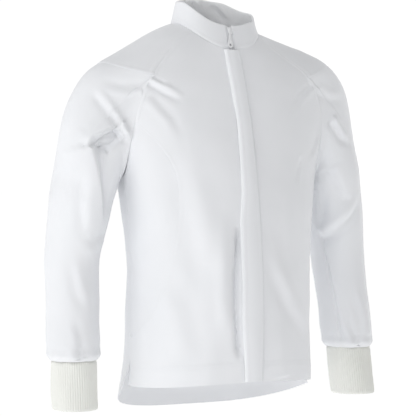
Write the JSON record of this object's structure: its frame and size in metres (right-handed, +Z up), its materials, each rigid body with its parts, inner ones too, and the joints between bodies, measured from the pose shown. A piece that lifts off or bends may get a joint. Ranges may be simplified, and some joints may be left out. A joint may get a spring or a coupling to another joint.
{
  "type": "work jacket",
  "caption": "White long-sleeved zip jacket with a stand collar, a storm flap over the zip, rib-knit cuffs and a longer curved back hem.",
  "frame": {"origin": "on the neck seam at centre back, where a hanger or a bust form carries the jacket", "axes": "-Y is the front that the wearer faces, +X is the wearer's left, +Z is up"},
  "size_m": [0.728, 0.3251, 0.839],
  "materials": {
    "shell_cloth": "fine twill weave, matte",
    "lining": "plain weave, matte",
    "rib_knit": "two-by-two rib knit, matte",
    "woven_tape": "woven tape, matte",
    "nylon": "moulded, satin"
  },
  "bodies": {
    "shell": {"front_left": "shell_cloth", "front_right": "shell_cloth", "front_side_left": "shell_cloth", "front_side_right": "shell_cloth", "back_panel": "shell_cloth", "shoulder_yoke": "shell_cloth", "collar_outer": "shell_cloth", "collar_lining": "lining", "front_facing_left": "lining", "front_facing_right": "lining", "hanger_loop": "woven_tape", "size_label": "woven_tape", "zip_tape_left": "woven_tape", "zip_tape_right": "woven_tape", "zip_teeth_left": "nylon", "zip_teeth_right": "nylon", "zip_bottom_box": "nylon", "storm_flap_upper": "shell_cloth"},
    "zip_slider": {"zip_slider": "nylon"},
    "zip_pull": {"zip_pull": "nylon"},
    "storm_flap": {"storm_flap_lower": "shell_cloth"},
    "upper_sleeve_left": {"sleeve_upper_top_left": "shell_cloth", "sleeve_upper_under_left": "shell_cloth"},
    "forearm_left": {"sleeve_fore_top_left": "shell_cloth", "sleeve_fore_under_left": "shell_cloth", "rib_cuff_left": "rib_knit"},
    "upper_sleeve_right": {"sleeve_upper_top_right": "shell_cloth", "sleeve_upper_under_right": "shell_cloth"},
    "forearm_right": {"sleeve_fore_top_right": "shell_cloth", "sleeve_fore_under_right": "shell_cloth", "rib_cuff_right": "rib_knit"}
  },
  "joints": [
    {"name": "zip_run", "type": "hinge", "parent": "shell", "child": "zip_slider", "pos_m": [0, 1.392, -0.606], "axis": [-1, 0, 0], "range_deg": [-23.94, 0]},
    {"name": "pull_flip", "type": "hinge", "parent": "zip_slider", "child": "zip_pull", "pos_m": [0, -0.12774, -0.01696], "axis": [-1, 0, 0], "range_deg": [0, 150]},
    {"name": "flap_lift", "type": "hinge", "parent": "shell", "child": "storm_flap", "pos_m": [0.0185, -0.2362, -0.5655], "axis": [0, 0.0249, 0.9997], "range_deg": [0, 95]},
    {"name": "shoulder_left", "type": "hinge", "parent": "shell", "child": "upper_sleeve_left", "pos_m": [0.252, -0.058, -0.085], "axis": [0, -1, 0], "range_deg": [0, 75]},
    {"name": "elbow_left", "type": "hinge", "parent": "upper_sleeve_left", "child": "forearm_left", "pos_m": [0.302, -0.099, -0.47], "axis": [-1, 0, 0], "range_deg": [0, 95]},
    {"name": "shoulder_right", "type": "hinge", "parent": "shell", "child": "upper_sleeve_right", "pos_m": [-0.252, -0.058, -0.085], "axis": [0, 1, 0], "range_deg": [0, 75]},
    {"name": "elbow_right", "type": "hinge", "parent": "upper_sleeve_right", "child": "forearm_right", "pos_m": [-0.302, -0.099, -0.47], "axis": [-1, 0, 0], "range_deg": [0, 95]}
  ]
}
